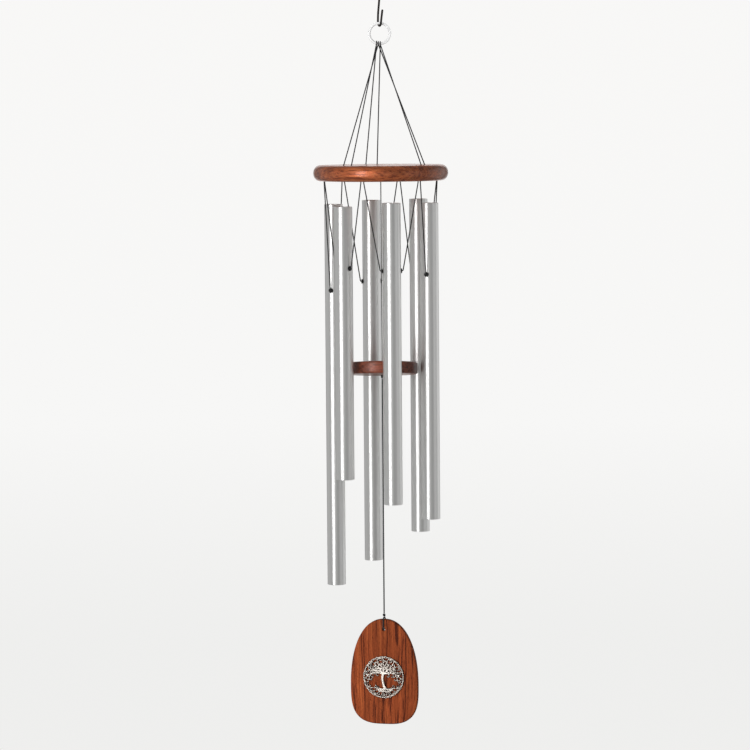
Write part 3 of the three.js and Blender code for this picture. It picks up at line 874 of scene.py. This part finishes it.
def egg(inset, count=40):
    """The sail's outline from its foot round: one superellipse above its widest line and one below."""
    def quarter(height, power):
        wide, high = SAIL["half"] - inset, height - inset
        angles = [QUARTER * i / count for i in range(count)]
        return [(wide * math.cos(t) ** (2 / power), high * math.sin(t) ** (2 / power)) for t in angles]

    upper = quarter(SAIL["upper"], 2.2)
    lower = [(x, -z) for x, z in quarter(SAIL["lower"], 3.1)]
    right = [(0, inset - SAIL["lower"]), *lower[:0:-1], *upper]
    left = [(-x, z) for x, z in right[:0:-1]]
    return right + [(0, SAIL["upper"] - inset)] + left


def windcatcher():
    """A flat board with a softly rounded edge: outlines stacked from the front face to the back face."""
    edge = 1.2 * MM
    half = SAIL["thickness"] / 2
    bm = bmesh.new()
    layers = [(edge - x, -half + edge - z) for x, z in arc((0, 0), edge, 90, 0, 6)]
    layers += [(inset, -y) for inset, y in reversed(layers)]
    rings = [[bm.verts.new((x, y, z)) for x, z in egg(inset)] for inset, y in layers]
    for low, high in zip(rings, rings[1:]):
        for i in range(len(low)):
            j = (i + 1) % len(low)
            bm.faces.new((low[i], low[j], high[j], high[i]))
    bm.faces.new(rings[0])
    bm.faces.new(rings[-1][::-1])
    bmesh.ops.recalc_face_normals(bm, faces=bm.faces)
    obj = to_object("carved_sail", bm, SAIL_WOOD)
    hole_z = SAIL["upper"] - SAIL_HOLE["below"]
    ease = 0.5 * MM
    radius = SAIL_HOLE["radius"]
    profile = [
        (0, -half - ease), (radius + 2 * ease, -half - ease), (radius, -half + ease),
        (radius, half - ease), (radius + 2 * ease, half + ease), (0, half + ease),
    ]
    hole = lathe(profile, 32)
    hole.transform(Matrix.Translation((0, 0, hole_z)) @ Matrix.Rotation(QUARTER, 4, "X"))
    cut(obj, [hole])
    obj.data.transform(sail_frame(SAIL_TOP - SAIL["upper"]))
    piece(obj, "sail", "sail_wood", "windcatcher")


# ---- medallion ------------------------------------------------------------------------------------

def curved(start, pull, end, steps=14):
    """A bending line from start to end that leaves towards pull."""
    a, b, c = (Vector(p) for p in (start, pull, end))
    made = []
    for i in range(steps + 1):
        t = i / steps
        made.append(a * (1 - t) ** 2 + b * (2 * t * (1 - t)) + c * t**2)
    return made


def curl(start, heading, side, size):
    """A shoot that leaves start at heading, in degrees, and winds up on itself to one side."""
    at, steps = Vector(start), 15
    made = [at.copy()]
    for k in range(steps):
        heading += side * (6 + 30 * k / steps)
        way = Vector((math.cos(math.radians(heading)), math.sin(math.radians(heading))))
        at = at + way * size * (0.42 - 0.013 * k)
        made.append(at)
    return made


def tree_limbs(rng):
    """A generic scrolled tree in a ring: each limb's points, first radius and last radius, in millimetres."""
    edge = MEDALLION["radius"] / MM - 1.25  # where the limbs end, in the middle of the rim
    limbs = []

    def at(bearing, reach=edge):
        return Vector((reach * math.cos(math.radians(bearing)), reach * math.sin(math.radians(bearing))))

    def grow(line, thick, first_side, places, sizes=(1.0, 1.5)):
        """A limb with curls that leave it on one side and then the other."""
        limbs.append((line, thick, thick * 0.55))
        side = first_side
        for share in places:
            k = min(round(share * (len(line) - 1)), len(line) - 2)
            way = line[k + 1] - line[k]
            heading = math.degrees(math.atan2(way.y, way.x)) + side * 38
            size = sizes[0] + (sizes[1] - sizes[0]) * share + rng.uniform(-0.1, 0.1)
            shoot = curl(line[k], heading, side, size)
            inside = [p if p.length < edge else p * (edge / p.length) for p in shoot]
            limbs.append((inside, 0.38, 0.28))
            side = -side

    crown, foot = Vector((-0.5, 2.6)), Vector((1.5, -10.4))
    for sway, thick in ((0.0, 0.78), (0.8, 0.46), (-0.8, 0.44)):
        middle = Vector((-0.7 + sway * 0.75, -3.6))
        upper = curved(crown + Vector((sway, 0.4)), crown + Vector((sway * 0.8 - 0.9, -3.2)), middle, 8)
        lower = curved(middle, middle + Vector((0.5, -3.4)), foot + Vector((sway * 1.4, 0)), 8)
        limbs.append((upper + lower[1:], thick, thick))
    spots = (0.34, 0.47, 0.59, 0.70, 0.81, 0.92)
    boughs = ((16, -8), (35, 7), (54, -7), (73, 8), (91, -6), (109, 7), (128, -8), (147, 7), (165, -8))
    for bearing, lean in boughs:
        outward = at(bearing, 9)
        across = Vector((-outward.y, outward.x)).normalized()
        pull = crown + Vector((outward.x * 0.5, 3.0)) + across * lean * 0.3
        grow(curved(crown, pull, at(bearing)), 0.55, 1 if lean > 0 else -1, spots)
    for side in (-1, 1):
        low = curved(crown, crown + Vector((side * 10.5, 4.0)), at(90 - side * 98))
        grow(low, 0.66, side, (0.42, 0.56, 0.7, 0.84), (1.2, 1.3))
        hanging = curved(low[8], crown + Vector((side * 12.6, -2.2)), at(90 - side * 122), 10)
        grow(hanging, 0.44, side, (0.3, 0.5, 0.7, 0.88), (1.1, 1.0))
        for bearing, thick in ((121, 0.6), (138, 0.55), (154, 0.55), (170, 0.5)):
            pull = foot + Vector((side * (176 - bearing) * 0.10, 0.4))
            root = curved(foot, pull, at(90 - side * bearing), 10)
            grow(root, thick, -side, (0.4, 0.6, 0.82), (0.8, 1.0))
    waves, swell, steps = 14, 0.55, 168
    for phase in (0, math.pi):
        turns = [2 * math.pi * i / steps for i in range(steps + 1)]
        rim = [at(math.degrees(t), edge + 0.2 + swell * math.sin(waves * t + phase)) for t in turns]
        limbs.append((rim, 0.38, 0.38))
    return limbs


def medallion():
    """A cast tree in a ring. Its limbs are swept, fused into one skin and smoothed like a casting."""
    rng = random.Random(7)
    half_depth = MEDALLION["thickness"] / MM / 2
    bm = bmesh.new()
    for line, first, last in tree_limbs(rng):
        points = [Vector((p.x, 0, p.y)) for p in line]
        count = len(points) - 1
        limb = sweep(points, lambda i, _angle: first + (last - first) * i / count, 12)
        flatter = min(0.9, 0.42 / first)
        lift = 0.24 + 0.1 * first
        for v in limb.verts:
            v.co.y = half_depth if v.co.y > 0.01 else max(v.co.y * flatter - lift, -half_depth)
        join(bm, limb)
    obj = to_object("cast_medallion", bm, SILVER, 180)
    fuse = obj.modifiers.new("fuse", "REMESH")
    fuse.mode = "VOXEL"
    fuse.voxel_size = 0.16  # in millimetres, as the medallion is until it is placed
    soften = obj.modifiers.new("soften", "SMOOTH")
    soften.iterations = 2
    settle(obj)
    obj.data.shade_smooth()
    # How far each point faces the front and stands forward. Where this is low the silver is painted dark:
    # patina, and painted shade down the flanks.
    front_facing_levels = [max(0.0, -v.normal.y) * (0.6 - 0.32 * v.co.y) for v in obj.data.vertices]
    obj.data.attributes.new("proud", "FLOAT", "POINT").data.foreach_set("value", front_facing_levels)
    front = SAIL["thickness"] / 2 + GAP + MEDALLION["thickness"] / 2
    place_at = Matrix.Translation((0, -front, SAIL_TOP - MEDALLION["below"])) @ Matrix.Scale(MM, 4)
    obj.data.transform(Matrix.Rotation(SAIL["yaw"], 4, "Z") @ place_at)
    piece(obj, "sail", "antique_silver", "medallion")


# ---- build ----------------------------------------------------------------------------------------

s_hook()
ring = hanging_ring()
canopy()
all_knots()
striker()
all_tubes()
sail_loop()
windcatcher()
medallion()


# ---- stage and light ------------------------------------------------------------------------------

def backdrop():
    """A pale round studio cove: a floor that curves up into a wall all the way round."""
    floor, radius, sweep_radius, height = -1.3, 7.0, 2.5, 6.0
    profile = [(0, floor), *arc((radius - sweep_radius, floor + sweep_radius), sweep_radius, -90, 0, 24)]
    profile.append((radius, height))
    material = bpy.data.materials.new("pale_cove")
    material.use_nodes = True
    tree = material.node_tree
    tree.nodes.clear()
    at = node(tree, "TexCoord").outputs["Object"]
    up = node(tree, "SeparateXYZ", {"Vector": at}).outputs["Z"]
    level = node(tree, "MapRange", {"Value": up, "From Min": floor, "From Max": 0.2}).outputs["Result"]
    # Painted shade: the cove glows by itself and is painted a little darker towards the floor.
    tone = ramp(tree, level, (0, (0.86, 0.86, 0.85)), (0.25, (0.93, 0.928, 0.92)), (1, (0.94, 0.935, 0.925)))
    glow = node(tree, "Emission", {"Color": tone, "Strength": 1.0})
    surface = node(tree, "OutputMaterial")
    tree.links.new(glow.outputs[0], surface.inputs["Surface"])
    cove = to_object("cove", lathe(profile, 96), material)
    for ray in ("visible_diffuse", "visible_glossy", "visible_transmission", "visible_shadow"):
        setattr(cove, ray, False)


def add_light(name, kind):
    light = bpy.data.objects.new(name, bpy.data.lights.new(name, kind))
    bpy.context.scene.collection.objects.link(light)
    return light


def panel(name, bearing, distance, width, height, radiance, z=-0.35, only_shines=False):
    """A soft box facing the chime. bearing is measured from the front, positive to the right. One that
    only shines is a card: it shows in metal and gloss, and it lights nothing else."""
    light = add_light(name, "AREA")
    light.data.shape = "RECTANGLE"
    light.data.size = width
    light.data.size_y = height
    light.data.energy = radiance * math.pi * width * height
    angle = math.radians(bearing)
    way = Vector((math.sin(angle), -math.cos(angle), 0))
    light.location = way * distance + Vector((0, 0, z))
    light.rotation_euler = (QUARTER, 0, angle)
    light.visible_camera = False
    light.visible_diffuse = not only_shines


def ring_fill(strength):
    """Light from all round on the ring alone, because polished plating mirrors the whole pale room."""
    lit = bpy.data.collections.new("lit_by_ring_fill")
    lit.objects.link(ring)
    ways = ((1, 0, 0), (-1, 0, 0), (0, 1, 0), (0, -1, 0), (0, 0, 1), (0, 0, -1))
    for number, way in enumerate(ways, 1):
        light = add_light(f"ring_fill_{number}", "SUN")
        light.data.energy = strength
        light.rotation_euler = Vector(way).to_track_quat("Z", "Y").to_euler()
        light.light_linking.receiver_collection = lit
        light.visible_glossy = False


def studio():
    """A tall key light, four dim cards round the chime and a bright wall behind it, in a grey room."""
    world = bpy.data.worlds.new("room")
    world.use_nodes = True
    world.node_tree.nodes["Background"].inputs["Color"].default_value = (0.26, 0.26, 0.258, 1)
    bpy.context.scene.world = world
    panel("key", -34, distance=2.2, width=0.66, height=2.5, radiance=5.3, z=0.0)
    cards = (
        ("left_card", -105, 3.0, 4.6, 0.25), ("front_card", -5, 4.0, 5.0, 0.22),
        ("right_card", 60, 3.0, 1.9, 0.42), ("side_card", 116, 3.0, 2.9, 0.50),
        ("rear_wall", 180, 4.0, 2.6, 0.9),
    )
    for name, bearing, distance, width, radiance in cards:
        panel(name, bearing, distance, width, height=3.4, radiance=radiance, only_shines=True)
    bpy.context.scene.view_settings.view_transform = "Standard"


backdrop()
studio()
ring_fill(strength=0.8)
